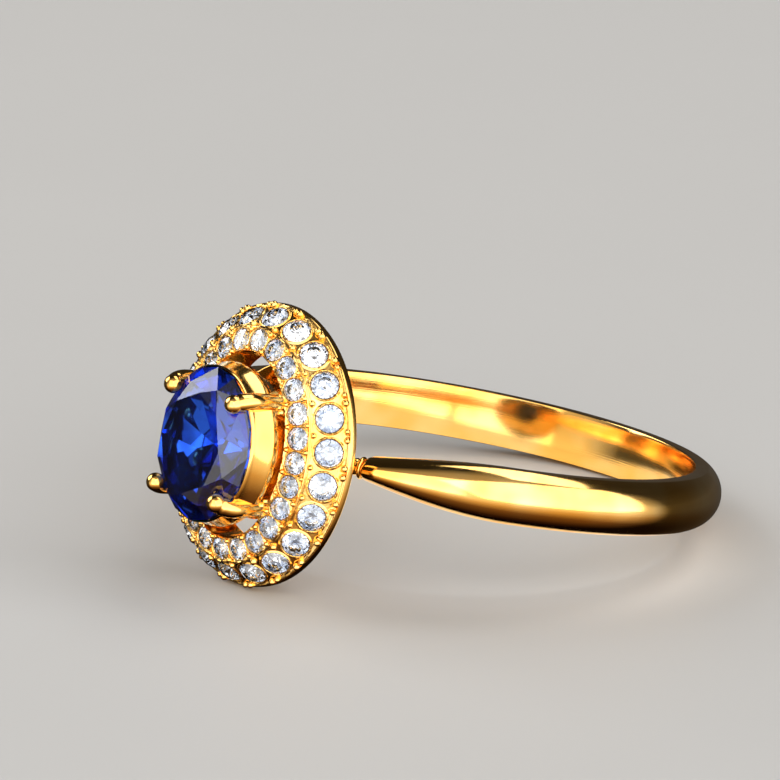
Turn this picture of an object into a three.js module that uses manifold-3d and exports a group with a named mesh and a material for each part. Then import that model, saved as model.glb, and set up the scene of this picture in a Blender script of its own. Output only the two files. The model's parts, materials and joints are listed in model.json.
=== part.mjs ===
// Engagement ring: an oval blue stone in a four-prong basket, a domed oval halo with two rows of
// small round stones, and a half-round shank that narrows towards the head.
//
// The ring is modelled head up: X runs across the head, Y along the finger and Z from the finger
// to the table of the stone, with the centre of the finger hole at the origin. The finished group
// is then laid on its side, on the rim of the halo and the back of the shank, as a ring lies on a
// table. All lengths are in millimetres and all angles in degrees.

import * as THREE from "three";
import { mergeVertices } from "three/addons/utils/BufferGeometryUtils.js";
import Module from "manifold-3d";

const wasm = await Module();
wasm.setup();

// ---- Driving dimensions ----------------------------------------------------------------------

const solderGap = 0.02; // between pieces that are soldered or set together

// Shank
const fingerRadius = 8.65;
const shankThickness = 1.2; // at the top of its half-round section
const shankSideHeight = 0.5; // of the flat side, below the half round
const domeSpread = 68; // of the half round's arc, from its middle to its edge
const comfortCrown = 0.06; // how far the inside bulges towards the finger
const shankWidth = 2.0; // at the back
const shoulderWidth = 0.84; // where the shank ends, next to the head
const shoulderGap = 0.4; // across, between the gallery and the end of the shank
const fullWidthAngle = 56; // from the middle of the head to where the shank is at full width

// Shoulder collars, which join the ends of the shank to the gallery
const collarRadius = 0.3;
const collarSeat = 0.42; // radius of the flange against the end of the shank
const collarFlange = 0.16; // length of that flange
const collarHeight = 0.66; // of the collar's axis above the finger
const collarBite = 0.12; // how far the end of a collar is let into the gallery

// Gallery: the flat oval under-ring next to the finger
const galleryClearance = 0.1; // above the finger
const galleryThickness = 0.55;
const galleryHalfWidth = 3.1; // outside, across the head
const galleryHalfLength = 3.0; // outside, along the finger
const galleryBand = 1.15; // width of the band of metal round its opening

// Centre stone
const stoneHalfWidth = 2.25;
const stoneHalfLength = 2.8;
const stoneRise = 4.57; // of the underside of the girdle above the finger
const girdleThickness = 0.1;
const crownHeight = 0.72;
const pavilionDepth = 1.95;
const tableShare = 0.66; // of the table's width in the stone's

// Basket and prongs
const basketWall = 0.36;
const basketRim = 0.05; // how far the top of the basket stands out past the stone
const basketFlare = 0.2; // how far it stands out at its widest
const basketFlareDrop = 0.9; // of its widest place below the stone's girdle
const basketTuck = 0.15; // height above the halo at which it has drawn in again
const basketWaist = 0.42; // how far its wall draws in below the rim
const basketWaistTop = 2.0; // of the straight lower wall above the finger
const blockWidth = 0.95; // corner blocks that join the basket, the prongs and the halo
const blockDepth = 1.1; // before it is trimmed to the halo's hole
const blockTopAboveHalo = 0.6;
const blockBottomAboveBack = 0.2;
const prongRadius = 0.325;
const prongAngle = 48; // from the Y axis, seen from above
const prongOverlap = 0.12; // how far a prong's wire reaches in over the girdle
const prongLean = 0.42; // how far its foot stands in from its top
const clawRise = 0.5; // from the girdle to the middle of the claw's round end
const clawReach = 0.33; // how far the claw leans in over the crown

// Halo
const prongInletAcross = 0.55; // of a prong beside the stone, how much the band takes in
const prongInletAlong = 0.05; // and of a prong above or below it
const haloBandAcross = 2.05; // width of the halo beside the stone
const haloBandAlong = 1.76; // width of the halo above and below the stone
const haloRise = 1.4; // of its flat back above the finger
const haloWallHeight = 0.38;
const outerRowDrop = 1.05; // from the ridge between the rows to the outer wall
const innerRowDrop = 0.24; // from the lip of the hole to the ridge
const ridgeShare = 0.52; // of the way from the hole to the outer wall
const edgeRound = 0.07; // small bevel on the halo's edges

// Small stones
const outerStones = 22;
const outerStoneDiameter = 1.0;
const innerStones = 24;
const innerStoneDiameter = 0.8;
const smallStoneSink = 0.05; // of the girdle below the metal
const smallGirdleShare = 0.04; // each share is of the stone's diameter
const smallCrownShare = 0.15;
const smallPavilionShare = 0.43;
const smallTableShare = 0.56;
const beadShare = 0.12; // radius of the metal beads between neighbouring stones
const beadInset = 0.14; // from the edge of the row to the middle of a bead

// Smoothness
const shankSteps = 64;
const ovalSteps = 48;
const basketSteps = 48;
const centreStoneSides = 16;
const smallStoneSides = 12;
const wireSides = 14;
const clawSteps = 4; // from the equator to the pole of a claw's round end
const sameCorner = 1e-4; // corners of one body closer than this are one corner
const tiltHalvings = 50; // in the search for the tilt at which the ring lies

// ---- Materials -------------------------------------------------------------------------------

const gold = new THREE.MeshStandardMaterial({ color: 0xe8a83a, roughness: 0.14, metalness: 1 });
const sapphire = new THREE.MeshStandardMaterial({ color: 0x12309e, roughness: 0.03, metalness: 0 });
const diamond = new THREE.MeshStandardMaterial({ color: 0xf2f4fa, roughness: 0.02, metalness: 0 });

// ---- Solids ----------------------------------------------------------------------------------

// A closed geometry as a manifold-3d solid.
function solidOf(geometry) {
  const bare = geometry.index ? geometry.toNonIndexed() : geometry.clone();
  bare.deleteAttribute("normal");
  bare.deleteAttribute("uv");
  const merged = mergeVertices(bare, sameCorner);
  return new wasm.Manifold(
    new wasm.Mesh({
      numProp: 3,
      vertProperties: merged.attributes.position.array,
      triVerts: new Uint32Array(merged.index.array),
    }),
  );
}

// The other way round: a geometry with flat faces from a solid.
function geometryOf(solid) {
  const mesh = solid.getMesh();
  const geometry = new THREE.BufferGeometry();
  geometry.setAttribute("position", new THREE.BufferAttribute(mesh.vertProperties, 3));
  geometry.setIndex(new THREE.BufferAttribute(mesh.triVerts, 1));
  const flat = geometry.toNonIndexed();
  flat.computeVertexNormals();
  return flat;
}

// A profile of [distance from the axis, height] pairs, turned round the Z axis.
function turned(profile, sides) {
  const points = profile.map(([radius, height]) => new THREE.Vector2(radius, height));
  const geometry = new THREE.LatheGeometry(points, sides);
  return geometry.rotateX(Math.PI / 2);
}

// The point at an angle round an oval, and the oval's outward direction there. Angle 0 is at +Y.
function ovalPoint(halfWidth, halfLength, angle) {
  const outward = new THREE.Vector2(Math.sin(angle) / halfWidth, Math.cos(angle) / halfLength);
  return {
    point: new THREE.Vector2(Math.sin(angle) * halfWidth, Math.cos(angle) * halfLength),
    outward: outward.normalize(),
  };
}

// Keeps a lathe's points off its axis while it is turned, and is taken away again afterwards.
const latheBase = 100;

// A closed profile of [distance outside the oval, height] pairs, carried round that oval.
function ovalRing(profile, halfWidth, halfLength, sides) {
  const geometry = turned(
    [...profile, profile[0]].map(([offset, height]) => [latheBase + offset, height]),
    sides,
  );
  const position = geometry.attributes.position;
  for (let i = 0; i < position.count; i++) {
    const x = position.getX(i);
    const y = position.getY(i);
    const offset = Math.hypot(x, y) - latheBase;
    const { point, outward } = ovalPoint(halfWidth, halfLength, Math.atan2(x, y));
    point.addScaledVector(outward, offset);
    position.setXY(i, point.x, point.y);
  }
  return geometry;
}

// Angles round an oval that space a number of stones evenly along it. The first is at +Y, or
// some share of the spacing further on.
function evenAngles(halfWidth, halfLength, count, shift) {
  const samples = 1440;
  const lengths = [0];
  let last = ovalPoint(halfWidth, halfLength, 0).point;
  for (let i = 1; i <= samples; i++) {
    const next = ovalPoint(halfWidth, halfLength, (i / samples) * 2 * Math.PI).point;
    lengths.push(lengths[i - 1] + next.distanceTo(last));
    last = next;
  }
  return Array.from({ length: count }, (_, stone) => {
    const target = ((stone + shift) / count) * lengths[samples];
    const after = lengths.findIndex((length) => length > target);
    const share = (target - lengths[after - 1]) / (lengths[after] - lengths[after - 1]);
    return ((after - 1 + share) / samples) * 2 * Math.PI;
  });
}

// Turns a geometry's Z axis to a direction and moves it to a point.
function aimed(geometry, direction, place) {
  const up = new THREE.Vector3(0, 0, 1);
  const turn = new THREE.Quaternion().setFromUnitVectors(up, direction.clone().normalize());
  return geometry.applyQuaternion(turn).translate(place.x, place.y, place.z);
}

const radians = THREE.MathUtils.degToRad;
const ring = new THREE.Group();

function addPiece(name, geometry, material) {
  const mesh = new THREE.Mesh(geometry, material);
  mesh.name = name;
  ring.add(mesh);
  return mesh;
}

// ---- The halo's ovals, and heights above the finger's centre ----------------------------------

const haloHoleHalfWidth = stoneHalfWidth + 2 * prongRadius - prongInletAcross;
const haloHoleHalfLength = stoneHalfLength + 2 * prongRadius - prongInletAlong;
const haloHalfWidth = haloHoleHalfWidth + haloBandAcross;
const haloHalfLength = haloHoleHalfLength + haloBandAlong;

const collarAxisHeight = fingerRadius + collarHeight;
const galleryBottom = fingerRadius + galleryClearance;
const galleryTop = galleryBottom + galleryThickness;
const haloBackHeight = fingerRadius + haloRise;
const stoneGirdleHeight = fingerRadius + stoneRise;

// ---- Shank -----------------------------------------------------------------------------------

const shankEndReach = galleryHalfWidth + shoulderGap;
const shoulderAngle = THREE.MathUtils.radToDeg(Math.asin(shankEndReach / collarAxisHeight));

// Half the shank's width at an angle from the middle of the head, either way.
function shankHalfWidthAt(angle) {
  const share = (angle - shoulderAngle) / (fullWidthAngle - shoulderAngle);
  const ease = Math.sin((Math.PI / 2) * THREE.MathUtils.clamp(share, 0, 1));
  return THREE.MathUtils.lerp(shoulderWidth, shankWidth, ease) / 2;
}

// Its section is drawn 2 wide, with the distance from the finger's centre along x. It is extruded
// straight and then bent round the finger, and its width follows the angle.
function makeShank() {
  const inside = fingerRadius + comfortCrown;
  const shoulder = inside + shankSideHeight;
  const spread = radians(domeSpread);
  const domeDepth = (fingerRadius + shankThickness - shoulder) / (1 - Math.cos(spread));
  const domeMiddle = shoulder - domeDepth * Math.cos(spread);
  const section = new THREE.Shape();
  section.moveTo(inside, -1);
  section.lineTo(shoulder, -1);
  section.absellipse(domeMiddle, 0, domeDepth, 1 / Math.sin(spread), -spread, spread);
  section.lineTo(inside, 1);
  section.quadraticCurveTo(inside - 2 * comfortCrown, 0, inside, -1);
  const geometry = new THREE.ExtrudeGeometry(section, {
    depth: 1,
    steps: shankSteps,
    curveSegments: 5,
    bevelEnabled: false,
  });
  const position = geometry.attributes.position;
  for (let i = 0; i < position.count; i++) {
    const angle = THREE.MathUtils.lerp(shoulderAngle, 360 - shoulderAngle, position.getZ(i));
    const fromHead = Math.min(angle, 360 - angle);
    const radius = position.getX(i);
    const along = position.getY(i) * shankHalfWidthAt(fromHead);
    const turn = radians(angle);
    position.setXYZ(i, radius * Math.sin(turn), -along, radius * Math.cos(turn));
  }
  return geometry;
}

addPiece("shank", makeShank(), gold);

// ---- Gallery and shoulder collars ------------------------------------------------------------

// The gallery, or with grow the space that pieces soldered to it keep clear of.
function makeGallery(grow = 0) {
  const profile = [
    [grow, galleryBottom - grow],
    [grow, galleryTop + grow],
    [-galleryBand - grow, galleryTop + grow],
    [-galleryBand - grow, galleryBottom - grow],
  ];
  return ovalRing(profile, galleryHalfWidth, galleryHalfLength, basketSteps);
}

addPiece("gallery", makeGallery(), gold);

// A collar stands on the end of the shank and runs into the gallery's side. side is 1 or -1.
function makeCollar(side) {
  const turn = radians(shoulderAngle);
  const seat = new THREE.Vector3(side * shankEndReach, 0, collarAxisHeight * Math.cos(turn));
  const towardsHead = new THREE.Vector3(-side * Math.cos(turn), 0, Math.sin(turn));
  const length = (shoulderGap + collarBite) / Math.cos(turn);
  const collar = turned(
    [
      [0, solderGap],
      [collarSeat, solderGap],
      [collarSeat, collarFlange],
      [collarRadius, collarFlange],
      [collarRadius, length],
      [0, length],
    ],
    wireSides,
  );
  const solid = solidOf(aimed(collar, towardsHead, seat));
  return geometryOf(solid.subtract(solidOf(makeGallery(solderGap))));
}

addPiece("shoulder_collar_right", makeCollar(1), gold);
addPiece("shoulder_collar_left", makeCollar(-1), gold);

// ---- Centre stone ----------------------------------------------------------------------------

// The stone, or with grow the space that its setting keeps clear of.
function makeCentreStone(grow = 0) {
  const girdle = 1 + grow / stoneHalfWidth;
  const stone = turned(
    [
      [0, -pavilionDepth - 2 * grow],
      [girdle, 0],
      [girdle, girdleThickness],
      [tableShare + grow, girdleThickness + crownHeight + grow],
      [0, girdleThickness + crownHeight + grow],
    ],
    centreStoneSides,
  );
  return stone.scale(stoneHalfWidth, stoneHalfLength, 1).translate(0, 0, stoneGirdleHeight);
}

addPiece("centre_stone", makeCentreStone(), sapphire);
const stoneSpace = solidOf(makeCentreStone(solderGap));

// ---- Prongs ----------------------------------------------------------------------------------

const prongBottom = galleryTop + solderGap;
const corners = [
  { name: "prong_back_right", x: 1, y: 1 },
  { name: "prong_front_right", x: 1, y: -1 },
  { name: "prong_back_left", x: -1, y: 1 },
  { name: "prong_front_left", x: -1, y: -1 },
];

// Where the middle of a prong's wire stands, and the way in from there to the stone.
function prongStand(corner) {
  const oval = ovalPoint(stoneHalfWidth, stoneHalfLength, radians(prongAngle));
  const middle = oval.point.addScaledVector(oval.outward, prongRadius - prongOverlap);
  return {
    middle: new THREE.Vector2(middle.x * corner.x, middle.y * corner.y),
    inward: new THREE.Vector2(-oval.outward.x * corner.x, -oval.outward.y * corner.y),
  };
}

// A round wire that leans out from the gallery to the girdle and ends in a claw, which leans in
// over the crown.
function prongSolid(corner, grow = 0) {
  const { middle, inward } = prongStand(corner);
  const radius = prongRadius + grow;
  const bend = new THREE.Vector3(middle.x, middle.y, stoneGirdleHeight + girdleThickness);
  const height = bend.z - prongBottom;
  const rise = new THREE.Vector3(-inward.x * prongLean, -inward.y * prongLean, height);
  const wire = new THREE.CylinderGeometry(radius, radius, rise.length() + 2 * radius, wireSides);
  wire.rotateX(Math.PI / 2);
  wire.translate(0, 0, -rise.length() / 2 - radius);
  aimed(wire, rise, bend);
  const lean = new THREE.Vector3(inward.x * clawReach, inward.y * clawReach, clawRise);
  const claw = new THREE.CapsuleGeometry(radius, lean.length(), clawSteps, wireSides);
  claw.rotateX(Math.PI / 2);
  aimed(claw, lean, bend.clone().addScaledVector(lean, 0.5));
  return solidOf(wire).add(solidOf(claw)).trimByPlane([0, 0, 1], prongBottom - grow);
}

for (const corner of corners) {
  addPiece(corner.name, geometryOf(prongSolid(corner).subtract(stoneSpace)), gold);
}

// ---- Halo ------------------------------------------------------------------------------------

const wallTop = haloBackHeight + haloWallHeight;
const ridgeHeight = wallTop + outerRowDrop;
const lipHeight = ridgeHeight + innerRowDrop;

// The oval that lies some share of the way from the halo's hole to its outer wall.
function haloOval(share) {
  return {
    halfWidth: THREE.MathUtils.lerp(haloHoleHalfWidth, haloHalfWidth, share),
    halfLength: THREE.MathUtils.lerp(haloHoleHalfLength, haloHalfLength, share),
  };
}

// A point of the halo, on one of those ovals.
function haloPoint(share, height, angle) {
  const { halfWidth, halfLength } = haloOval(share);
  const { point } = ovalPoint(halfWidth, halfLength, angle);
  return new THREE.Vector3(point.x, point.y, height);
}

// A closed profile of [share, height] pairs, carried round the head.
function haloRing(profile) {
  const geometry = turned(
    [...profile, profile[0]].map(([share, height]) => [latheBase + share, height]),
    ovalSteps,
  );
  const position = geometry.attributes.position;
  for (let i = 0; i < position.count; i++) {
    const x = position.getX(i);
    const y = position.getY(i);
    const place = haloPoint(Math.hypot(x, y) - latheBase, position.getZ(i), Math.atan2(x, y));
    position.setXY(i, place.x, place.y);
  }
  return geometry;
}

// The halo before it is set: the face slopes gently under the inner row and steeply under the
// outer row, down to a short outer wall.
function makeHaloBlank() {
  const bevel = edgeRound / (haloHalfWidth - haloHoleHalfWidth);
  return haloRing([
    [0, haloBackHeight],
    [1, haloBackHeight],
    [1, wallTop - edgeRound],
    [1 - bevel, wallTop + edgeRound],
    [ridgeShare, ridgeHeight],
    [bevel, lipHeight],
    [0, lipHeight - edgeRound],
  ]);
}

// Each row of stones lies between two edges of the halo's face.
const rows = [
  {
    name: "outer_stone",
    count: outerStones,
    diameter: outerStoneDiameter,
    from: { share: ridgeShare, height: ridgeHeight },
    to: { share: 1, height: wallTop },
  },
  {
    name: "inner_stone",
    count: innerStones,
    diameter: innerStoneDiameter,
    from: { share: 0, height: lipHeight },
    to: { share: ridgeShare, height: ridgeHeight },
  },
];

// A point of a row's face, and the direction it faces. across is 0 at the inner edge, 1 at the
// outer edge and 0.5 in the middle.
function rowPoint(row, angle, across) {
  const inner = haloPoint(row.from.share, row.from.height, angle);
  const outer = haloPoint(row.to.share, row.to.height, angle);
  const step = 0.01; // far enough round to give the direction along the row
  const ahead = haloPoint(row.from.share, row.from.height, angle + step);
  const facing = outer.clone().sub(inner).cross(ahead.sub(inner)).normalize();
  if (facing.z < 0) facing.negate();
  return { place: inner.lerp(outer, across), facing, width: outer.distanceTo(inner) };
}

// A small round stone with its girdle's top at height 0, pointing up Z.
function makeSmallStone(diameter) {
  return turned(
    [
      [0, -(smallGirdleShare + smallPavilionShare) * diameter],
      [diameter / 2, -smallGirdleShare * diameter],
      [diameter / 2, 0],
      [(smallTableShare * diameter) / 2, smallCrownShare * diameter],
      [0, smallCrownShare * diameter],
    ],
    smallStoneSides,
  );
}

// The seat that is cut for it: a cone under the stone, and straight sides up past the metal.
function makeSeat(diameter) {
  const radius = diameter / 2 + solderGap;
  return turned(
    [
      [0, -(smallGirdleShare + smallPavilionShare) * diameter - 2 * solderGap],
      [radius, -smallGirdleShare * diameter - solderGap / 2],
      [radius, diameter / 2],
      [0, diameter / 2],
    ],
    smallStoneSides,
  );
}

// The angles of a row's stones, or with shift 0.5 of the gaps between them.
function rowAngles(row, shift = 0) {
  const middle = haloOval((row.from.share + row.to.share) / 2);
  return evenAngles(middle.halfWidth, middle.halfLength, row.count, shift);
}

// The middle of a stone's girdle, and the direction it faces.
function stonePlace(row, angle) {
  const { place, facing } = rowPoint(row, angle, 0.5);
  return { place: place.addScaledVector(facing, -smallStoneSink), facing };
}

// The beads that hold a row's stones, one at each side of every gap.
function makeBeads(row) {
  const beads = [];
  for (const angle of rowAngles(row, 0.5)) {
    const inset = beadInset / rowPoint(row, angle, 0.5).width;
    for (const across of [inset, 1 - inset]) {
      const { place } = rowPoint(row, angle, across);
      const bead = new THREE.IcosahedronGeometry(beadShare * row.diameter, 0);
      beads.push(solidOf(bead.translate(place.x, place.y, place.z)));
    }
  }
  return beads;
}

const prongSpaces = corners.map((corner) => prongSolid(corner, solderGap));

function makeHalo() {
  let halo = solidOf(makeHaloBlank());
  for (const row of rows) {
    for (const angle of rowAngles(row)) {
      const { place, facing } = stonePlace(row, angle);
      halo = halo.subtract(solidOf(aimed(makeSeat(row.diameter), facing, place)));
    }
  }
  for (const row of rows) {
    for (const bead of makeBeads(row)) halo = halo.add(bead);
  }
  for (const space of prongSpaces) halo = halo.subtract(space);
  return geometryOf(halo);
}

for (const row of rows) {
  rowAngles(row).forEach((angle, index) => {
    const { place, facing } = stonePlace(row, angle);
    const number = String(index + 1).padStart(2, "0");
    addPiece(`${row.name}_${number}`, aimed(makeSmallStone(row.diameter), facing, place), diamond);
  });
}
addPiece("halo", makeHalo(), gold);

// ---- Basket ----------------------------------------------------------------------------------

// A thin oval wall under the girdle that flares out above the halo and draws in to its waist, with
// a block at each corner that holds a prong and reaches out to the halo.
function makeBasket() {
  const waistTop = fingerRadius + basketWaistTop;
  const outside = [
    [basketRim, stoneGirdleHeight],
    [basketFlare, stoneGirdleHeight - basketFlareDrop],
    [-basketRim, lipHeight + basketTuck],
    [-basketWaist, waistTop],
    [-basketWaist, galleryTop + solderGap],
  ];
  const inside = outside.map(([offset, height]) => [offset - basketWall, height]);
  const profile = [...inside, ...outside.reverse()];
  let basket = solidOf(ovalRing(profile, stoneHalfWidth, stoneHalfLength, basketSteps));
  for (const corner of corners) basket = basket.add(makeBlock(corner));
  for (const space of prongSpaces) basket = basket.subtract(space);
  return geometryOf(basket.subtract(stoneSpace));
}

// A block stands round a prong's wire and is trimmed to the halo's hole.
function makeBlock(corner) {
  const gapShare = solderGap / haloBandAlong;
  const room = haloRing([
    [-1, haloBackHeight],
    [-gapShare, haloBackHeight],
    [-gapShare, stoneGirdleHeight],
    [-1, stoneGirdleHeight],
  ]);
  const bottom = haloBackHeight + blockBottomAboveBack;
  const top = lipHeight + blockTopAboveHalo;
  const { middle, inward } = prongStand(corner);
  const block = new THREE.BoxGeometry(blockDepth, blockWidth, top - bottom);
  block.rotateZ(Math.atan2(inward.y, inward.x));
  block.translate(middle.x, middle.y, (top + bottom) / 2);
  return solidOf(block).intersect(solidOf(room));
}

addPiece("basket", makeBasket(), gold);

// ---- Lying on its side -----------------------------------------------------------------------

// Every corner of the named piece, in the head-up frame.
function cornersOf(name) {
  const position = ring.getObjectByName(name).geometry.attributes.position;
  return Array.from({ length: position.count }, (_, i) =>
    new THREE.Vector3().fromBufferAttribute(position, i),
  );
}

// The tilt of the finger's axis at which the halo and the shank both touch the table.
function restingTilt() {
  const haloCorners = cornersOf("halo");
  const shankCorners = cornersOf("shank");
  const lowest = (points, tilt) =>
    Math.min(...points.map((point) => point.y * Math.cos(tilt) + point.z * Math.sin(tilt)));
  let low = 0;
  let high = Math.PI / 4;
  for (let halving = 0; halving < tiltHalvings; halving++) {
    const middle = (low + high) / 2;
    if (lowest(haloCorners, middle) < lowest(shankCorners, middle)) low = middle;
    else high = middle;
  }
  return low;
}

ring.rotation.x = Math.PI / 2 - restingTilt();
ring.updateMatrixWorld(true);
const laid = new THREE.Box3().setFromObject(ring, true);
const middle = laid.getCenter(new THREE.Vector3());
ring.position.set(-middle.x, -middle.y, -laid.min.z);

const engagementRing = new THREE.Group();
engagementRing.name = "engagement_ring";
engagementRing.add(ring);

export default engagementRing;
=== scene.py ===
import json
import math

import bpy
import numpy as np
from mathutils import Matrix, Quaternion, Vector


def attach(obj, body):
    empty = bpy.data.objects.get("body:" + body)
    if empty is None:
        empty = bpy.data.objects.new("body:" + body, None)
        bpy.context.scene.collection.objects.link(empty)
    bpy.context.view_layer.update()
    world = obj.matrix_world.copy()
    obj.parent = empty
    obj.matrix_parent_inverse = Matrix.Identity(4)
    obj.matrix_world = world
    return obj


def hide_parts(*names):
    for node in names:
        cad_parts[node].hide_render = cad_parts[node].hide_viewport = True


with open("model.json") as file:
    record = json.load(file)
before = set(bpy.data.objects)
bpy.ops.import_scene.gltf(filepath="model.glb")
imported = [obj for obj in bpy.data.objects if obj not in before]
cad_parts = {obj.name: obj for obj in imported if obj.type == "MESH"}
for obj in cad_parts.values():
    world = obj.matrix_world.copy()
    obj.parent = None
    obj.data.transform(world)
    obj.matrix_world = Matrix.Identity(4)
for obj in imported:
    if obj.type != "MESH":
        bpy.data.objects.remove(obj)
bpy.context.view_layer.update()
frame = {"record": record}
print("frame loaded")

# Lengths are in millimetres in the ring's own frame: x across the head, y along the finger,
# z from the finger to the stone, and the middle of the finger hole at 0.
mm = 0.001
tableHeight = 14.04  # of the oval stone's table above the middle of the finger hole
tableMount = next(m for m in frame["record"]["mounts"] if m["name"] == "stone_table")
headUp = Vector(tableMount["axis"])
headSide = Vector((1, 0, 0))
headAlong = headUp.cross(headSide)
holeCentre = Vector(tableMount["pos_m"]) - headUp * tableHeight * mm
ringPlace = Matrix.Translation(holeCentre) @ Matrix((headSide, headAlong, headUp)).transposed().to_4x4()
ringPlace = ringPlace @ Matrix.Scale(mm, 4)


def addPiece(name, points, faces, materials, nodes=(), smooth=True, sharp=None,
             picks=None, uv=None):
    # picks says which of the materials each face has, uv gives each point its place on the metal
    mesh = bpy.data.meshes.new(name)
    placed = [ringPlace @ Vector(p) for p in points]
    mesh.from_pydata(placed, [], [tuple(int(i) for i in f) for f in faces])
    mesh.polygons.foreach_set("use_smooth", [smooth] * len(mesh.polygons))
    if sharp is not None:
        mesh.set_sharp_from_angle(angle=math.radians(sharp))
    for material in materials:
        mesh.materials.append(material)
    if picks is not None:
        mesh.polygons.foreach_set("material_index", picks)
    if uv is not None:
        layer = mesh.uv_layers.new(name="UVMap")
        corners = np.empty(len(mesh.loops), dtype=np.int32)
        mesh.loops.foreach_get("vertex_index", corners)
        layer.data.foreach_set("uv", np.array(uv, dtype=np.float32)[corners].ravel())
    piece = bpy.data.objects.new(name, mesh)
    bpy.context.scene.collection.objects.link(piece)
    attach(piece, "root")
    if nodes:
        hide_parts(*nodes)
    return piece


def gridFaces(rows, columns, closeRows, closeColumns):
    faces = []
    for i in range(rows if closeRows else rows - 1):
        for j in range(columns if closeColumns else columns - 1):
            a, b = i, (i + 1) % rows
            c, d = j, (j + 1) % columns
            faces.append((a * columns + c, a * columns + d, b * columns + d, b * columns + c))
    return faces


def joinMeshes(parts):
    points, faces = [], []
    for somePoints, someFaces in parts:
        start = len(points)
        points += [tuple(p) for p in somePoints]
        faces += [tuple(i + start for i in f) for f in someFaces]
    return points, faces


def capped(faces, pointCount, columns):
    # closes both ends of a tube of rings
    return [*faces, tuple(reversed(range(columns))), tuple(range(pointCount - columns, pointCount))]


def ovalPoint(halfWidth, halfLength, angle):
    return np.array((math.sin(angle) * halfWidth, math.cos(angle) * halfLength))


def ovalOutward(halfWidth, halfLength, angle):
    outward = np.array((math.sin(angle) / halfWidth, math.cos(angle) / halfLength))
    return outward / np.linalg.norm(outward)


def evenAngles(halfWidth, halfLength, count, shift=0.0):
    t = np.linspace(0, 2 * math.pi, 2881)
    x, y = np.sin(t) * halfWidth, np.cos(t) * halfLength
    length = np.concatenate([[0], np.cumsum(np.hypot(np.diff(x), np.diff(y)))])
    return np.interp((np.arange(count) + shift) / count * length[-1], length, t)


def roundedProfile(corners, radii, steps=5):
    # a closed outline with each corner rounded off
    out = []
    count = len(corners)
    for i, (corner, radius) in enumerate(zip(corners, radii)):
        corner = np.array(corner, float)
        if radius <= 0:
            out.append(corner)
            continue
        before = np.array(corners[i - 1], float) - corner
        after = np.array(corners[(i + 1) % count], float) - corner
        before /= np.linalg.norm(before)
        after /= np.linalg.norm(after)
        half = math.acos(max(-1, min(1, float(before @ after)))) / 2
        reach = radius / math.tan(half)
        start, end = corner + before * reach, corner + after * reach
        for k in range(steps + 1):
            t = k / steps
            out.append((1 - t) ** 2 * start + 2 * t * (1 - t) * corner + t * t * end)
    return out


def ovalSweep(profile, halfWidth, halfLength, steps):
    # profile of (distance outside the oval, height), carried round it
    points = []
    for angle in evenAngles(halfWidth, halfLength, steps):
        base = ovalPoint(halfWidth, halfLength, angle)
        outward = ovalOutward(halfWidth, halfLength, angle)
        for offset, height in profile:
            x, y = base + outward * offset
            points.append((x, y, height))
    return points, gridFaces(steps, len(profile), True, True)


def lathe(profile, steps, place, direction):
    # profile of (radius, height) from one end of the axis to the other
    turn = Vector((0, 0, 1)).rotation_difference(Vector(direction))
    points = []
    for radius, height in profile:
        for k in range(steps):
            a = 2 * math.pi * k / steps
            p = Vector((radius * math.cos(a), radius * math.sin(a), height))
            points.append(turn @ p + Vector(place))
    faces = capped(gridFaces(len(profile), steps, False, True), len(points), steps)
    return points, [tuple(reversed(f)) for f in faces]


def newMaterial(name):
    material = bpy.data.materials.new(name)
    material.use_nodes = True
    nodes = material.node_tree.nodes
    return material, nodes, material.node_tree.links, nodes["Principled BSDF"]


def addNode(nodes, kind, inputs=None, **settings):
    node = nodes.new("ShaderNode" + kind)
    for name, value in settings.items():
        setattr(node, name, value)
    for name, value in (inputs or {}).items():
        node.inputs[name].default_value = value
    return node


# scales are in waves per metre, or per unit of the streaks' own map, and bumps in millimetres
polishLook = {
    "deep": (0.95, 0.53, 0.12, 1),
    "bright": (1.0, 0.64, 0.20, 1),
    "toneScale": 420,
    "grainScale": 14000,
    "roughness": (0.07, 0.15),
    "waveBump": 0.012,
    "grainBump": 0.0006,
}
shankLook = {
    **polishLook,
    "deep": (0.95, 0.51, 0.10, 1),
    "bright": (1.0, 0.66, 0.24, 1),
    "streaks": (1.5, 26),
    "streakBump": 0.0012,
}
settingLook = {
    "deep": (0.96, 0.55, 0.13, 1),
    "bright": (1.0, 0.68, 0.25, 1),
    "toneScale": 900,
    "grainScale": 6500,
    "roughness": (0.12, 0.26),
    "waveBump": 0.02,
    "grainBump": 0.012,
}


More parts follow.
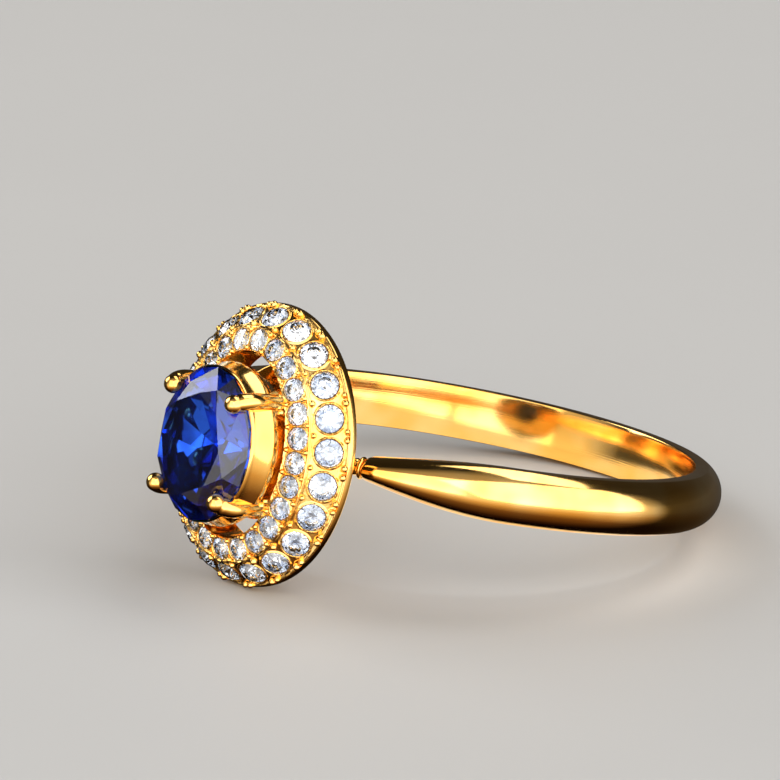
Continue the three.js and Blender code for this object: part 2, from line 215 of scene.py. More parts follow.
def makeGold(name, look):
    material, nodes, links, shader = newMaterial(name)
    place = addNode(nodes, "TexCoord")
    tone = addNode(nodes, "TexNoise", {"Scale": look["toneScale"], "Detail": 2})
    grain = addNode(nodes, "TexNoise", {"Scale": look["grainScale"], "Detail": 3})
    for noise in (tone, grain):
        links.new(place.outputs["Object"], noise.inputs["Vector"])
    tint = addNode(nodes, "Mix", data_type="RGBA")
    tint.inputs["A"].default_value = look["deep"]
    tint.inputs["B"].default_value = look["bright"]
    spread = addNode(nodes, "MapRange", {"From Min": 0.35, "From Max": 0.65})
    links.new(tone.outputs["Fac"], spread.inputs["Value"])
    links.new(spread.outputs["Result"], tint.inputs["Factor"])
    links.new(tint.outputs["Result"], shader.inputs["Base Color"])
    low, high = look["roughness"]
    polish = addNode(nodes, "MapRange", {"From Min": 0.3, "From Max": 0.7, "To Min": low, "To Max": high})
    wave = addNode(nodes, "Bump", {"Distance": look["waveBump"] * mm})
    links.new(tone.outputs["Fac"], wave.inputs["Height"])
    surface = addNode(nodes, "Bump", {"Distance": look["grainBump"] * mm})
    links.new(grain.outputs["Fac"], surface.inputs["Height"])
    links.new(wave.outputs["Normal"], surface.inputs["Normal"])
    links.new(grain.outputs["Fac"], polish.inputs["Value"])
    if "streaks" in look:  # the fine lines that polishing leaves along a band
        along, across = look["streaks"]
        stretch = addNode(nodes, "Mapping", {"Scale": (along, across, 1)})
        streak = addNode(nodes, "TexNoise", {"Scale": 1, "Detail": 4})
        links.new(place.outputs["UV"], stretch.inputs["Vector"])
        links.new(stretch.outputs["Vector"], streak.inputs["Vector"])
        links.new(streak.outputs["Fac"], polish.inputs["Value"])
        lines = addNode(nodes, "Bump", {"Distance": look["streakBump"] * mm})
        links.new(streak.outputs["Fac"], lines.inputs["Height"])
        links.new(surface.outputs["Normal"], lines.inputs["Normal"])
        surface = lines
    links.new(polish.outputs["Result"], shader.inputs["Roughness"])
    links.new(surface.outputs["Normal"], shader.inputs["Normal"])
    shader.inputs["Metallic"].default_value = 1
    return material


polishedGold = makeGold("polished gold", polishLook)
shankGold = makeGold("long polished gold", shankLook)
settingGold = makeGold("bright cut gold", settingLook)

# A stone is clear glass above, and its pavilion facets throw the light back; the pavilion's colour is
# painted in random bright and dark patches, a painted reflection of facets catching light and shade
gemLooks = {
    "sapphire": {
        "crown": (0.42, 0.55, 1.0, 1),
        "ior": 1.77,
        # dark and light are painted reflection colours: shaded and lit facet flashes on the pavilion
        "dark": (0.005, 0.022, 0.24, 1),
        "light": (0.06, 0.26, 0.95, 1),
        "patchScale": 700,
        "roughness": 0.05,
        "inside": 0.93,
        "outside": 0.1,
    },
    "diamond": {
        "crown": (1.0, 1.0, 1.0, 1),
        "ior": 2.2,
        "dark": (0.46, 0.52, 0.63, 1),
        "light": (0.97, 0.98, 1.0, 1),
        "patchScale": 2500,
        "roughness": 0.03,
        "inside": 1,
        "outside": 0.3,
    },
}


def makeGem(name, look):
    crown, nodes, links, shader = newMaterial(name + " crown")
    shader.inputs["Base Color"].default_value = look["crown"]
    shader.inputs["Roughness"].default_value = 0
    shader.inputs["IOR"].default_value = look["ior"]
    shader.inputs["Transmission Weight"].default_value = 1
    pavilion, nodes, links, shader = newMaterial(name + " pavilion")
    place = addNode(nodes, "TexCoord")
    # painted reflection: noise patches of the dark and light colours stand in for facets flashing bright
    # and dark
    patch = addNode(nodes, "TexNoise", {"Scale": look["patchScale"], "Detail": 1})
    spread = addNode(nodes, "MapRange", {"From Min": 0.38, "From Max": 0.62})
    tint = addNode(nodes, "Mix", data_type="RGBA")
    tint.inputs["A"].default_value = look["dark"]
    tint.inputs["B"].default_value = look["light"]
    links.new(place.outputs["Object"], patch.inputs["Vector"])
    links.new(patch.outputs["Fac"], spread.inputs["Value"])
    links.new(spread.outputs["Result"], tint.inputs["Factor"])
    links.new(tint.outputs["Result"], shader.inputs["Base Color"])
    shader.inputs["Roughness"].default_value = look["roughness"]
    side = addNode(nodes, "NewGeometry")  # a mirror from inside the stone, and glossy from outside
    silver = addNode(nodes, "MapRange", {"To Min": look["outside"], "To Max": look["inside"]})
    links.new(side.outputs["Backfacing"], silver.inputs["Value"])
    links.new(silver.outputs["Result"], shader.inputs["Metallic"])
    return [crown, pavilion]


sapphire = makeGem("sapphire", gemLooks["sapphire"])
diamond = makeGem("diamond", gemLooks["diamond"])
print("materials made")

shank = {
    "fingerRadius": 8.65,
    "thickness": 1.2,
    "sideHeight": 0.5,
    "backWidth": 2.0,
    "shoulderWidth": 0.84,
    "shoulderAngle": 22.08,
    "fullWidthAngle": 56,
    "domeSpread": 68,  # degrees of arc from the middle of the dome to its edge
    "comfortCrown": 0.06,
    "edgeRound": 0.05,
    "endRound": 0.16,
    "steps": 320,
    "streakMap": 10,  # how many times the map of the streaks is drawn out along the band
}


def shankHalfWidth(angle):
    share = (angle - shank["shoulderAngle"]) / (shank["fullWidthAngle"] - shank["shoulderAngle"])
    ease = math.sin(math.pi / 2 * min(1, max(0, share)))
    return (shank["shoulderWidth"] + (shank["backWidth"] - shank["shoulderWidth"]) * ease) / 2


def shankSection(halfWidth):
    # (distance from the finger's middle, y), round the half-round section
    inside = shank["fingerRadius"] + shank["comfortCrown"]
    side = inside + shank["sideHeight"]
    top = shank["fingerRadius"] + shank["thickness"]
    spread = math.radians(shank["domeSpread"])
    dome, inner = [], []
    for t in np.linspace(-spread, spread, 25):
        rise = (math.cos(t) - math.cos(spread)) / (1 - math.cos(spread))
        dome.append((side + (top - side) * rise, halfWidth * math.sin(t) / math.sin(spread)))
    for y in np.linspace(1, -1, 13):
        inner.append((inside - shank["comfortCrown"] * (1 - y * y), halfWidth * y))
    radii = [0] * (len(dome) + len(inner))
    for i in (0, len(dome) - 1, len(dome), -1):
        radii[i] = shank["edgeRound"]
    return roundedProfile(dome + inner, radii, 4)


def makeShank():
    start = shank["shoulderAngle"]
    middle = shank["fingerRadius"] + shank["thickness"] / 2
    arc = math.degrees(shank["endRound"] / middle)
    ends = [(arc * (1 - math.cos(t)), math.sin(t)) for t in np.linspace(0.15, math.pi / 2, 7)]
    stations = [(start + turn, size) for turn, size in ends]
    stations += [(a, 1) for a in np.linspace(start + arc * 1.1, 360 - start - arc * 1.1, shank["steps"])]
    stations += [(360 - start - turn, size) for turn, size in reversed(ends)]
    points, uv = [], []
    for angle, size in stations:
        inset = shank["endRound"] * (1 - size)
        turn = math.radians(angle)
        for radius, y in shankSection(shankHalfWidth(min(angle, 360 - angle))):
            y = max(0, abs(y) - inset) * math.copysign(1, y)
            radius = middle + max(0, abs(radius - middle) - inset) * math.copysign(1, radius - middle)
            points.append((radius * math.sin(turn), y, radius * math.cos(turn)))
            uv.append((turn * middle / shank["streakMap"], y + radius))
    columns = len(points) // len(stations)
    faces = capped(gridFaces(len(stations), columns, False, True), len(points), columns)
    addPiece("half_round_shank", points, faces, [shankGold], ("shank",), sharp=70, uv=uv)


makeShank()
print("shank made")

gallery = {"bottom": 8.75, "top": 9.3, "halfWidth": 3.1, "halfLength": 3.0, "band": 1.15, "round": 0.12}
collar = {
    "radius": 0.3,
    "seat": 0.42,
    "flange": 0.16,
    "height": 0.66,
    "bead": 0.08,
    "bite": 0.05,
    "core": 0.05,
    "threadRise": 0.03,
    "threadAt": 0.45,  # share of the way along the neck
    "threadWidth": 0.12,
}


def makeGallery():
    g = gallery
    corners = [(0, g["bottom"]), (0, g["top"]), (-g["band"], g["top"]), (-g["band"], g["bottom"])]
    profile = roundedProfile(corners, [g["round"]] * 4)
    points, faces = ovalSweep(profile, g["halfWidth"], g["halfLength"], 160)
    addPiece("under_gallery", points, faces, [polishedGold], ("gallery",), sharp=60)


def makeCollar(side, node):
    c = collar
    turn = math.radians(shank["shoulderAngle"])
    height = shank["fingerRadius"] + c["height"]
    seat = Vector((side * height * math.sin(turn), 0, height * math.cos(turn)))
    towardsHead = Vector((-side * math.cos(turn), 0, math.sin(turn)))
    length = (seat.x * side - gallery["halfWidth"]) / math.cos(turn) + c["bite"]
    half = c["flange"] / 2
    profile = [(c["core"], 0)]
    for t in np.linspace(-math.pi / 2, math.pi / 2, 9):  # a half-round bead against the shank
        profile.append((c["seat"] - c["bead"] + c["bead"] * math.cos(t), half + half * math.sin(t)))
    for t in np.linspace(0, 1, 8):  # then the neck, with a fine thread half way
        thread = c["threadRise"] * math.exp(-((t - c["threadAt"]) / c["threadWidth"]) ** 2)
        profile.append((c["radius"] + thread, c["flange"] + (length - c["flange"]) * t))
    points, faces = lathe(profile, 40, seat, towardsHead)
    addPiece("collar_" + node, points, faces, [polishedGold], ("shoulder_collar_" + node,),
             sharp=50)


makeGallery()
makeCollar(1, "right")
makeCollar(-1, "left")
print("gallery and collars made")


def brilliant(stone, sides=8):
    # a round brilliant one unit across with its girdle's top at height 0, and each face's material
    table, crown, girdle, depth = stone["table"] / 2, stone["crown"], stone["girdle"], stone["pavilion"]
    points, faces, picks = [], [], []

    def ring(radius, count, shift, height):
        start = len(points)
        for k in range(count):
            a = 2 * math.pi * (k + shift) / count
            points.append((radius * math.sin(a), radius * math.cos(a), height))
        return start

    def face(pick, *corners):
        faces.append(corners)
        picks.append(pick)

    half = math.cos(math.pi / sides)
    starRadius = table + (0.5 - table) * stone["star"]
    starHeight = crown - (starRadius * half - table) * crown / (0.5 - table)
    lowerHeight = -girdle - depth + stone["lower"] * half * depth / 0.5
    tableRing = ring(table, sides, 0, crown)
    starRing = ring(starRadius, sides, 0.5, starHeight)
    top = ring(0.5, 2 * sides, 0, 0)
    bottom = ring(0.5, 2 * sides, 0, -girdle)
    lowerRing = ring(stone["lower"], sides, 0.5, lowerHeight)
    culet = ring(0, 1, 0, -girdle - depth)
    face(0, *reversed(range(tableRing, tableRing + sides)))
    for k in range(sides):
        n, p = (k + 1) % sides, (k - 1) % sides
        g, g1, g2 = 2 * k, 2 * k + 1, (2 * k + 2) % (2 * sides)
        face(0, tableRing + k, tableRing + n, starRing + k)
        face(0, tableRing + k, starRing + k, top + g, starRing + p)
        face(0, starRing + k, top + g1, top + g)
        face(0, starRing + k, top + g2, top + g1)
        face(0, top + g, top + g1, bottom + g1, bottom + g)
        face(0, top + g1, top + g2, bottom + g2, bottom + g1)
        face(1, bottom + g, bottom + g1, lowerRing + k)
        face(1, bottom + g1, bottom + g2, lowerRing + k)
        face(1, culet, lowerRing + p, bottom + g, lowerRing + k)
    return points, faces, picks


centreStone = {
    "halfWidth": 2.25,
    "halfLength": 2.8,
    "girdleHeight": 13.22,
    "girdle": 0.1,
    "crown": 0.72,
    "pavilion": 1.95,
    "table": 0.66,
    "star": 0.45,
    "lower": 0.14,
}


def makeCentreStone():
    s = centreStone
    points, faces, picks = brilliant(s)
    top = s["girdleHeight"] + s["girdle"]
    placed = [(x * 2 * s["halfWidth"], y * 2 * s["halfLength"], z + top) for x, y, z in points]
    addPiece("oval_sapphire", placed, faces, sapphire, ("centre_stone",), smooth=False,
             picks=picks)


makeCentreStone()
print("centre stone made")

halo = {
    "holeHalfWidth": 2.35,
    "holeHalfLength": 3.4,
    "halfWidth": 4.4,
    "halfLength": 5.16,
    "back": 10.05,
    "wall": 0.38,
    "outerDrop": 1.05,
    "innerDrop": 0.24,
    "ridge": 0.52,  # share of the way from the hole to the outer wall
    "thread": 0.085,  # width of the raised edge on both sides of a row
    "threadTop": 0.5,  # where its flat top ends and its slope ends, as shares of its width
    "threadFoot": 1.4,
    "field": 0.07,  # how deep the metal between the threads is cut away
    "softEdge": 0.03,  # how far the edges of a row are rounded down
    "seatRim": 0.05,  # height of the metal pushed up round each stone
    "seatRimAway": 0.05,  # distance of that metal from the stone
    "seatRimWidth": 0.035,
    "seatRoom": 0.012,
    "seatDepth": 0.14,
    "seatSlope": 0.92,  # of the cone under each stone
    "notch": 0.09,  # depth of the cuts in the outer thread, one at each gap between stones
    "notchWidth": 0.1,
    "notchStart": 0.3,  # distance from the outer wall at which a cut begins, and is at its full depth
    "notchFull": 0.06,
    "lipRound": 0.03,
    "evenAt": 0.6,  # share of the way from the hole to the outer wall at which the steps are even
    "around": 1440,
    "acrossInner": 34,
    "acrossOuter": 46,
}
smallStone = {  # for a stone one unit across, except that sink is in millimetres
    "girdle": 0.04,
    "crown": 0.15,
    "pavilion": 0.41,
    "table": 0.55,
    "star": 0.5,
    "lower": 0.11,
    "sink": 0.05,
    "tilt": 0.05,
}
grain = {
    "outer": 0.13,
    "inner": 0.105,
    "inset": 0.13,
    "wallInset": 0.8,  # share of the inset for the grains at the outer wall
    "sink": 0.03,
    "pairGap": 0.13,
    "uneven": 0.14,
    "lean": 0.15,
}
wallTop = halo["back"] + halo["wall"]
ridgeHeight = wallTop + halo["outerDrop"]
lipHeight = ridgeHeight + halo["innerDrop"]
rows = [  # from and to are (share of the way from the hole to the outer wall, height)
    {
        "name": "outer_stone",
        "atWall": True,
        "count": 22,
        "size": 1.0,
        "from": (halo["ridge"], ridgeHeight),
        "to": (1.0, wallTop),
    },
    {
        "name": "inner_stone",
        "atWall": False,
        "count": 24,
        "size": 0.8,
        "from": (0.0, lipHeight),
        "to": (halo["ridge"], ridgeHeight),
    },
]
chance = np.random.default_rng(11)


def haloOval(share):
    return (
        halo["holeHalfWidth"] + (halo["halfWidth"] - halo["holeHalfWidth"]) * share,
        halo["holeHalfLength"] + (halo["halfLength"] - halo["holeHalfLength"]) * share,
    )


def haloPoint(share, height, angle):
    x, y = ovalPoint(*haloOval(share), angle)
    return np.array((x, y, height))


def rowFrame(row, angle, across=0.5):
    inner = haloPoint(*row["from"], angle)
    outer = haloPoint(*row["to"], angle)
    ahead = haloPoint(*row["from"], angle + 0.01)
    facing = np.cross(outer - inner, ahead - inner)
    facing /= np.linalg.norm(facing) * (1 if facing[2] > 0 else -1)
    return inner + (outer - inner) * across, facing, np.linalg.norm(outer - inner)


def rowAngles(row, shift=0.0):
    return evenAngles(*haloOval((row["from"][0] + row["to"][0]) / 2), row["count"], shift)


def smoothStep(low, high, value):
    t = np.clip((value - low) / (high - low), 0, 1)
    return t * t * (3 - 2 * t)


def rowSurface(row, angles, steps):
    # the face of one row: threads at its edges, a cut field, and a rim and a seat for each stone
    columns = []
    seats = [rowFrame(row, a)[:2] for a in rowAngles(row)]
    centres = np.array([c for c, n in seats])
    facings = np.array([n for c, n in seats])
    radius = row["size"] / 2
    gaps = np.array([rowFrame(row, a, 1)[0] for a in rowAngles(row, 0.5)])
    for angle in angles:
        inner, facing, width = rowFrame(row, angle, 0)
        outer = rowFrame(row, angle, 1)[0]
        t = np.linspace(0, 1, steps)
        base = inner + (outer - inner) * t[:, None]
        edge = np.minimum(t, 1 - t) * width
        threadTop, threadFoot = halo["thread"] * halo["threadTop"], halo["thread"] * halo["threadFoot"]
        drop = halo["field"] * smoothStep(threadTop, threadFoot, edge)
        drop = drop + halo["softEdge"] * (1 - smoothStep(0, threadTop, edge))
        offset = base[:, None, :] - centres[None]
        along = (offset * facings[None]).sum(-1, keepdims=True)
        flat = np.sqrt(((offset - along * facings[None]) ** 2).sum(-1) + 1e-9).min(1)
        rim = (flat - radius - halo["seatRimAway"]) / halo["seatRimWidth"]
        drop = drop - halo["seatRim"] * np.exp(-rim ** 2)
        if row["atWall"]:
            toGap = np.linalg.norm(outer - gaps, axis=1).min()
            notch = halo["notch"] * math.exp(-((toGap / halo["notchWidth"]) ** 2))
            start, full = width - halo["notchStart"], width - halo["notchFull"]
            drop = drop + notch * smoothStep(start, full, t * width)
        cut = halo["seatDepth"] + np.clip(radius - flat, 0, None) * halo["seatSlope"]
        drop = np.where(flat < radius + halo["seatRoom"], np.maximum(drop, cut), drop)
        columns.append(base - facing * drop[:, None])
    return np.array(columns)


def makeHalo():
    h = halo
    around = evenAngles(*haloOval(h["evenAt"]), h["around"])
    innerFace = rowSurface(rows[1], around, h["acrossInner"])
    outerFace = rowSurface(rows[0], around, h["acrossOuter"])
    # the wall, the back and the hole, as (outwards, up) from the nearest edge
    rimSide = [(-0.01, -0.03), (0, -0.08)]
    backSide = [(0, 0.10), (-0.005, 0.07), (-0.03, 0.03), (-0.07, 0), (-0.3, 0)]
    holeSide = [(0.3, 0), (0.06, 0), (0.015, 0.03), (0, 0.09)]
    lipSide = [(0, -0.12), (0, -0.05)]
    points = []
    for i, angle in enumerate(around):
        outward = np.append(ovalOutward(*haloOval(1), angle), 0)
        holeOutward = np.append(ovalOutward(*haloOval(0), angle), 0)
        column = [*innerFace[i], *outerFace[i][1:]]
        column[0] = column[0] + holeOutward * h["lipRound"]
        for share, height, away, offsets in (
            (1, wallTop, outward, rimSide),
            (1, h["back"], outward, backSide),
            (0, h["back"], holeOutward, holeSide),
            (0, lipHeight, holeOutward, lipSide),
        ):
            edge = haloPoint(share, height, angle)
            column += [edge + away * out + np.array((0, 0, up)) for out, up in offsets]
        points += column
    faces = gridFaces(len(around), len(column), True, True)
    faceColumns = h["acrossInner"] + h["acrossOuter"] - 1  # the rest is wall, back and hole
    picks = [int(f[0] % len(column) >= faceColumns) for f in faces]
    metals = [settingGold, polishedGold]
    addPiece("paved_halo", points, faces, metals, ("halo",), sharp=40, picks=picks)


def bead(radius, place, up, stretch=1.15, cover=0.62, firstRing=0.35, rings=7, sides=14):
    # a small round-topped grain of metal; cover is the share of a ball that it shows
    points = []
    turn = Vector((0, 0, 1)).rotation_difference(Vector(up))
    for r in range(rings):
        t = math.pi * cover * (r + firstRing) / rings
        for k in range(sides):
            a = 2 * math.pi * k / sides
            p = Vector((math.sin(t) * math.cos(a), math.sin(t) * math.sin(a), math.cos(t) * stretch))
            points.append(turn @ (p * radius) + Vector(place))
    faces = gridFaces(rings, sides, False, True)
    faces.append(tuple(reversed(range(sides))))
    return points, [tuple(reversed(f)) for f in faces]


def makeBeads():
    # one grain at each side of a gap, and a pair at the outer wall
    parts = []
    for row in rows:
        size = grain["outer"] if row["atWall"] else grain["inner"]
        for gap in rowAngles(row, 0.5):
            width = rowFrame(row, gap)[2]
            inset = grain["inset"] / width
            pair = grain["pairGap"] / np.linalg.norm(rowFrame(row, gap)[0][:2])
            places = [(gap, inset)]
            if row["atWall"]:
                nearWall = 1 - inset * grain["wallInset"]
                places += [(gap - pair, nearWall), (gap + pair, nearWall)]
            else:
                places += [(gap, 1 - inset)]
            for angle, across in places:
                place, up, _ = rowFrame(row, angle, across)
                scale = 1 + grain["uneven"] * chance.uniform(-1, 1)
                lean = Vector(up) + Vector(chance.uniform(-grain["lean"], grain["lean"], 3))
                parts.append(bead(size * scale, place - up * grain["sink"], lean.normalized()))
    points, faces = joinMeshes(parts)
    addPiece("setting_beads", points, faces, [polishedGold], (), sharp=80)


def makeSmallStones():
    points, faces, picks = brilliant(smallStone)
    for row in rows:
        for index, angle in enumerate(rowAngles(row)):
            middle, facing, _ = rowFrame(row, angle)
            spin = Quaternion((0, 0, 1), chance.uniform(0, math.pi))
            uneven = chance.uniform(-smallStone["tilt"], smallStone["tilt"], 3)
            tilt = Vector(facing) + Vector(uneven)  # set by hand, so not quite level
            turn = Vector((0, 0, 1)).rotation_difference(tilt.normalized()) @ spin
            place = Vector(middle - facing * smallStone["sink"])
            placed = [turn @ (Vector(p) * row["size"]) + place for p in points]
            node = f"{row['name']}_{index + 1:02d}"
            addPiece("gem_" + node, placed, faces, diamond, (node,), smooth=False,
                     picks=picks)


makeHalo()
makeBeads()
makeSmallStones()
print("halo and small stones made")

basket = {
    "wall": 0.36,
    "rim": 0.05,
    "rimIn": 0.03,  # the rounded top edge
    "rimDown": 0.04,
    "bandDrop": 0.12,  # depth below the girdle at which the wall starts to flare out
    "flare": 0.2,
    "flareDrop": 0.9,
    "hollow": 1.6,  # how hollow the flare is; 1 is straight
    "insideRim": 0.06,
    "insideRimDrop": 0.08,
    "insideFlare": 0.3,
    "tuck": 0.15,
    "waist": 0.42,
    "waistTop": 10.65,
    "steps": 200,
}
prong = {
    "radius": 0.325,
    "angle": 48,
    "overlap": 0.12,
    "lean": 0.42,
    "clawRise": 0.5,
    "clawReach": 0.33,
    "ballRadius": 0.34,
    "grooveAt": 1.5,  # ball radii from the end
    "grooveDepth": 0.15,
    "grooveWidth": 0.035,
    "bendStart": 0.86,  # share of the way from the foot to the bend
    "bendEnd": 0.45,  # share of the way from the bend to the end
    "sides": 36,
}
block = {
    "width": 0.95,
    "bottom": 10.25,
    "top": 12.32,
    "towardsStone": 0.25,
    "towardsHalo": 0.62,
    "round": 0.14,
    "centre": 0.1,  # outwards from the prong, where the top draws in to
    "levels": [(0.5, 1.0), (0.3, 0.95), (0.12, 0.84), (0, 0.62)],  # (depth below the top, size)
    "clear": 0.02,  # room between the block and the edge of the halo's hole
    "grainClear": 0.03,
    # (place across the block, size, depth below its top)
    "grains": [(-0.34, 0.12, 0.5), (-0.1, 0.13, 0.4), (0.16, 0.13, 0.42), (0.4, 0.12, 0.52)],
}
corners = [("back_right", 1, 1), ("front_right", 1, -1), ("back_left", -1, 1), ("front_left", -1, -1)]


def makeBasket():
    b, s = basket, centreStone
    rim, wide, tuck = s["girdleHeight"], s["girdleHeight"] - b["flareDrop"], lipHeight + b["tuck"]
    outside = [(b["rim"] - b["rimIn"], rim), (b["rim"], rim - b["rimDown"])]
    start = rim - b["bandDrop"]
    for t in np.linspace(0, 1, 9):  # flares out with a slight hollow
        out = b["rim"] + (b["flare"] - b["rim"]) * t ** b["hollow"]
        outside.append((out, start - (start - wide) * t))
    for t in np.linspace(0.1, 1, 9):  # and draws in again above the halo
        fall = math.sin(math.pi / 2 * t)
        outside.append((b["flare"] - (b["flare"] + b["rim"]) * t ** 2, wide - (wide - tuck) * fall))
    for t in np.linspace(0.1, 1, 7):
        outside.append((-b["rim"] - (b["waist"] - b["rim"]) * t, tuck - (tuck - b["waistTop"]) * t))
    inner = -b["waist"] - b["wall"]
    inside = [(inner, gallery["top"]), (inner, b["waistTop"]), (-b["wall"] - b["rim"], tuck)]
    inside += [(-b["insideFlare"], wide), (-b["insideRim"], rim - b["insideRimDrop"])]
    profile = [*outside, (-b["waist"], gallery["top"]), *inside]
    points, faces = ovalSweep(list(reversed(profile)), s["halfWidth"], s["halfLength"], b["steps"])
    addPiece("oval_basket", points, faces, [polishedGold], ("basket",), sharp=50)


def prongLine(sideX, sideY):
    angle = math.radians(prong["angle"])
    s = centreStone
    outward = ovalOutward(s["halfWidth"], s["halfLength"], angle) * (sideX, sideY)
    middle = ovalPoint(s["halfWidth"], s["halfLength"], angle) * (sideX, sideY)
    middle = middle + outward * (prong["radius"] - prong["overlap"])
    bend = Vector((*middle, s["girdleHeight"] + s["girdle"]))
    out = Vector((*outward, 0))
    foot = bend - out * prong["lean"]
    foot.z = gallery["top"]
    tip = bend - out * prong["clawReach"] + Vector((0, 0, prong["clawRise"]))
    return foot, bend, tip, out


def prongRadius(distance):
    # at a distance from the end: a ball, a cut groove behind it, then the plain wire
    ball = prong["ballRadius"]
    groove = ball * prong["grooveAt"]
    if distance < groove:
        return math.sqrt(max(1e-6, ball * ball - (ball - distance) ** 2))
    dip = math.exp(-((distance - groove) / prong["grooveWidth"]) ** 2)
    return prong["radius"] * (1 - prong["grooveDepth"] * dip)


def makeProng(name, sideX, sideY):
    foot, bend, tip, out = prongLine(sideX, sideY)
    end = tip + (tip - bend).normalized() * prong["radius"]
    line = [foot, foot.lerp(bend, 0.5)]
    start, finish = foot.lerp(bend, prong["bendStart"]), bend.lerp(end, prong["bendEnd"])
    for t in np.linspace(0, 1, 12):  # a soft bend at the girdle
        line.append(start * (1 - t) ** 2 + bend * 2 * t * (1 - t) + finish * t * t)
    line += [finish.lerp(end, t) for t in 1 - (1 - np.linspace(0.03, 1, 44)) ** 1.3]
    left = [0.0]
    for i in range(len(line) - 1, 0, -1):
        left.append(left[-1] + (line[i] - line[i - 1]).length)
    left.reverse()
    across = Vector((-out.y, out.x, 0)).normalized()
    sides = prong["sides"]
    points = []
    for i, place in enumerate(line):
        axis = (line[min(i + 1, len(line) - 1)] - line[max(i - 1, 0)]).normalized()
        up = axis.cross(across).normalized()
        radius = prongRadius(left[i])
        for k in range(sides):
            a = 2 * math.pi * k / sides
            points.append(place + (across * math.cos(a) + up * math.sin(a)) * radius)
    faces = capped(gridFaces(len(line), sides, False, True), len(points), sides)
    addPiece("wire_" + name, points, faces, [polishedGold], ("prong_" + name,), sharp=70)


def insideHole(point, clear):
    # moves a point that is beyond the halo's hole back onto its edge
    halfWidth, halfLength = halo["holeHalfWidth"] - clear, halo["holeHalfLength"] - clear
    reach = math.hypot(point.x / halfWidth, point.y / halfLength)
    return Vector((point.x / max(1, reach), point.y / max(1, reach), point.z))


def makeBlock(name, sideX, sideY):
    # joins the basket, the prong and the halo, and is finished with grains of metal
    foot, bend, tip, out = prongLine(sideX, sideY)
    across = Vector((-out.y, out.x, 0))
    height = block["top"] - block["bottom"]
    place = foot.lerp(bend, (block["top"] - foot.z) / (bend.z - foot.z))
    half = block["width"] / 2
    near, far = -block["towardsStone"], block["towardsHalo"]
    plan = [(near, -half), (far, -half), (far, half), (near, half)]
    outline = roundedProfile(plan, [block["round"]] * 4, 4)
    points = []
    levels = [(0, 1.0)] + [(height - depth, size) for depth, size in block["levels"]]
    for level, size in levels:
        for a, c in outline:
            reach = block["centre"] + (a - block["centre"]) * size
            p = place + out * reach + across * c * size
            points.append(insideHole(Vector((p.x, p.y, block["bottom"] + level)), block["clear"]))
    faces = capped(gridFaces(len(levels), len(outline), False, True), len(points), len(outline))
    parts = [(points, faces)]
    for c, size, drop in block["grains"]:
        p = insideHole(place + out + across * c, block["grainClear"])
        parts.append(bead(size, (p.x, p.y, block["top"] - drop), (0, 0, 1)))
    points, faces = joinMeshes(parts)
    addPiece("bridge_" + name, points, faces, [settingGold], (), sharp=50)


makeBasket()
for corner in corners:
    makeProng(*corner)
    makeBlock(*corner)
print("basket and prongs made")

# Softboxes: azimuth and elevation seen from the ring, width and height in metres, and brightness
studio = {
    "floor": (0.52, 0.515, 0.505, 1),
    "floorReach": 1.2,
    "floorWall": 0.2,  # height of the low pale wall that hides the far edge of the floor
    "sky": [  # (height from -1 below to 1 above, colour)
        (-1.0, (0.01, 0.004, 0.002)),
        (-0.75, (0.06, 0.032, 0.016)),
        (-0.5, (0.24, 0.17, 0.10)),
        (-0.28, (0.42, 0.39, 0.36)),
        (-0.08, (0.46, 0.44, 0.42)),
        (0.02, (0.36, 0.34, 0.31)),
        (0.3, (0.22, 0.20, 0.17)),
        (1.0, (0.12, 0.11, 0.10)),
    ],
    "skyStrength": 3.0,
    "card": {"radius": 8.3, "back": 2.28, "height": 0.02, "color": (0.85, 0.84, 0.82, 1), "glow": 0.25},
    "skyTowards": (0.8, -0.6, 0),  # the side where the sky is brightest
    "skyFar": 0.05,  # how bright it is on the other side, compared with there
    "softboxDistance": 0.8,
    "softboxes": {
        "front softbox": (22, 20, 0.80, 1.12, 1.6),
        "right softbox": (92, 20, 1.49, 1.12, 1.9),
        "left softbox": (-68, 30, 0.53, 0.53, 4.0),
        "back softbox": (170, 62, 0.64, 0.37, 2.5),
    },
}
camera = {"azimuth": 45.1, "elevation": 17.236, "roll": 1.845, "distance": 239.04, "lens": 298.92}
aim = Vector((-1.422, -0.067, 5.306)) * mm


def towards(azimuth, elevation):
    a, e = math.radians(azimuth), math.radians(elevation)
    return Vector((math.sin(a) * math.cos(e), -math.cos(a) * math.cos(e), math.sin(e)))


def makeFloor():
    material, nodes, links, shader = newMaterial("pale studio floor")
    place = addNode(nodes, "TexCoord")
    grainNoise = addNode(nodes, "TexNoise", {"Scale": 60})
    tone = addNode(nodes, "Mix", data_type="RGBA")
    tone.inputs["A"].default_value = studio["floor"]
    tone.inputs["B"].default_value = tuple(c * 0.97 for c in studio["floor"][:3]) + (1,)
    links.new(place.outputs["Object"], grainNoise.inputs["Vector"])
    links.new(grainNoise.outputs["Fac"], tone.inputs["Factor"])
    links.new(tone.outputs["Result"], shader.inputs["Base Color"])
    shader.inputs["Roughness"].default_value = 0.6
    reach, wall = studio["floorReach"], studio["floorWall"]
    ends = [(-reach, -reach), (reach, -reach), (reach, reach), (-reach, reach)]
    points = [(x, y, z) for z in (0, wall) for x, y in ends]
    sides = [(k, k + 4, (k + 1) % 4 + 4, (k + 1) % 4) for k in range(4)]
    mesh = bpy.data.meshes.new("floor")
    mesh.from_pydata(points, [], [(0, 1, 2, 3)] + sides)
    mesh.materials.append(material)
    floor = bpy.data.objects.new("floor", mesh)
    floor.visible_glossy = False  # so the gold keeps its dark side on a pale floor
    bpy.context.scene.collection.objects.link(floor)


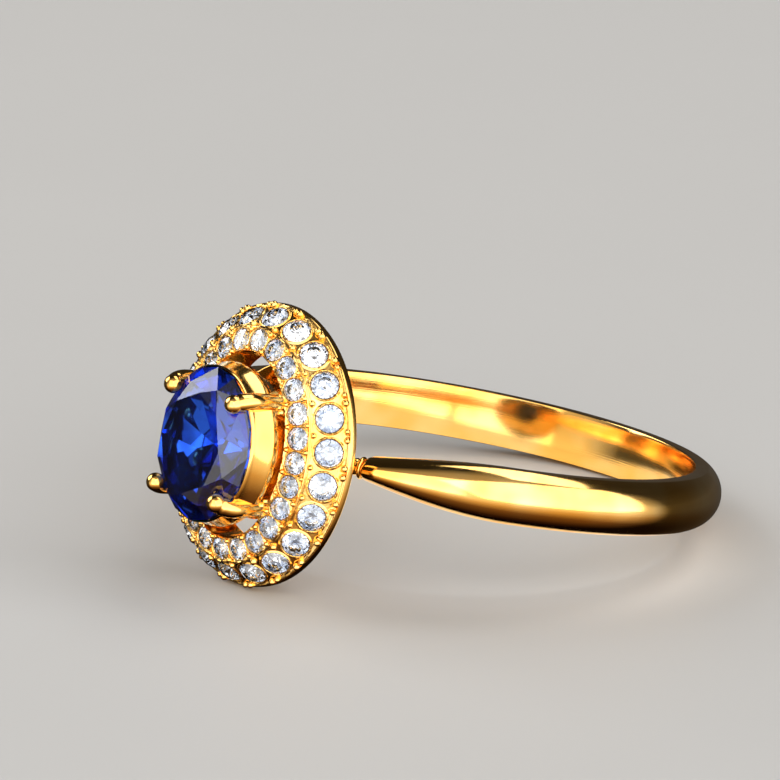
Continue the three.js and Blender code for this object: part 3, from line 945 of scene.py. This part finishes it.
def makeCard():
    # a pale card inside the ring, seen only in the gold and through the stones
    c = studio["card"]
    material, nodes, links, shader = newMaterial("pale card")
    shader.inputs["Base Color"].default_value = c["color"]
    shader.inputs["Roughness"].default_value = 0.8
    shader.inputs["Emission Color"].default_value = c["color"]
    shader.inputs["Emission Strength"].default_value = c["glow"]
    sides = 48
    points = []
    for a in np.linspace(0, 2 * math.pi, sides, endpoint=False):
        place = Vector((c["radius"] * math.sin(a), c["radius"] * math.cos(a) + c["back"], c["height"]))
        points.append(place * mm)
    mesh = bpy.data.meshes.new("card")
    mesh.from_pydata(points, [], [tuple(reversed(range(sides)))])
    mesh.materials.append(material)
    card = bpy.data.objects.new("card", mesh)
    card.visible_camera = False
    card.visible_diffuse = False
    card.visible_shadow = False
    bpy.context.scene.collection.objects.link(card)


def addSoftbox(name, azimuth, elevation, width, height, brightness):
    light = bpy.data.lights.new(name, "AREA")
    light.shape = "RECTANGLE"
    light.size, light.size_y = width, height
    light.energy = brightness * math.pi * width * height
    lamp = bpy.data.objects.new(name, light)
    lamp.location = towards(azimuth, elevation) * studio["softboxDistance"]
    lamp.visible_camera = False
    lamp.rotation_mode = "QUATERNION"
    lamp.rotation_quaternion = (-lamp.location).to_track_quat("-Z", "Y")
    bpy.context.scene.collection.objects.link(lamp)


def makeCamera():
    c = camera
    back = towards(c["azimuth"], c["elevation"])
    data = bpy.data.cameras.new("camera")
    data.lens, data.sensor_width = c["lens"], 36
    data.clip_start, data.clip_end = 0.001, 10
    view = bpy.data.objects.new("camera", data)
    view.location = aim + back * c["distance"] * mm
    view.rotation_mode = "QUATERNION"
    roll = Quaternion((0, 0, 1), math.radians(c["roll"]))
    view.rotation_quaternion = (-back).to_track_quat("-Z", "Y") @ roll
    bpy.context.scene.collection.objects.link(view)
    bpy.context.scene.camera = view


def makeWorld():
    world = bpy.data.worlds.new("studio")
    world.use_nodes = True
    nodes, links = world.node_tree.nodes, world.node_tree.links
    place = addNode(nodes, "TexCoord")
    height = addNode(nodes, "SeparateXYZ")
    share = addNode(nodes, "MapRange", {"From Min": -1, "From Max": 1})
    ramp = addNode(nodes, "ValToRGB")
    stops = ramp.color_ramp.elements
    for level, color in studio["sky"]:
        if -1 < level < 1:
            stop = stops.new((level + 1) / 2)
        else:
            stop = stops[0 if level == -1 else -1]
        stop.color = (*color, 1)
    links.new(place.outputs["Generated"], height.inputs["Vector"])
    links.new(height.outputs["Z"], share.inputs["Value"])
    links.new(share.outputs["Result"], ramp.inputs["Fac"])
    links.new(ramp.outputs["Color"], nodes["Background"].inputs["Color"])
    side = addNode(nodes, "VectorMath", operation="DOT_PRODUCT")
    side.inputs[1].default_value = studio["skyTowards"]
    fade = addNode(nodes, "MapRange", {"From Min": -0.1, "From Max": 0.3})
    fade.inputs["To Min"].default_value = studio["skyStrength"] * studio["skyFar"]
    fade.inputs["To Max"].default_value = studio["skyStrength"]
    links.new(place.outputs["Generated"], side.inputs[0])
    links.new(side.outputs["Value"], fade.inputs["Value"])
    links.new(fade.outputs["Result"], nodes["Background"].inputs["Strength"])
    bpy.context.scene.world = world


makeFloor()
makeCard()
makeWorld()
for name, box in studio["softboxes"].items():
    addSoftbox(name, *box)
makeCamera()
bpy.context.scene.view_settings.view_transform = "Standard"
print("studio made")
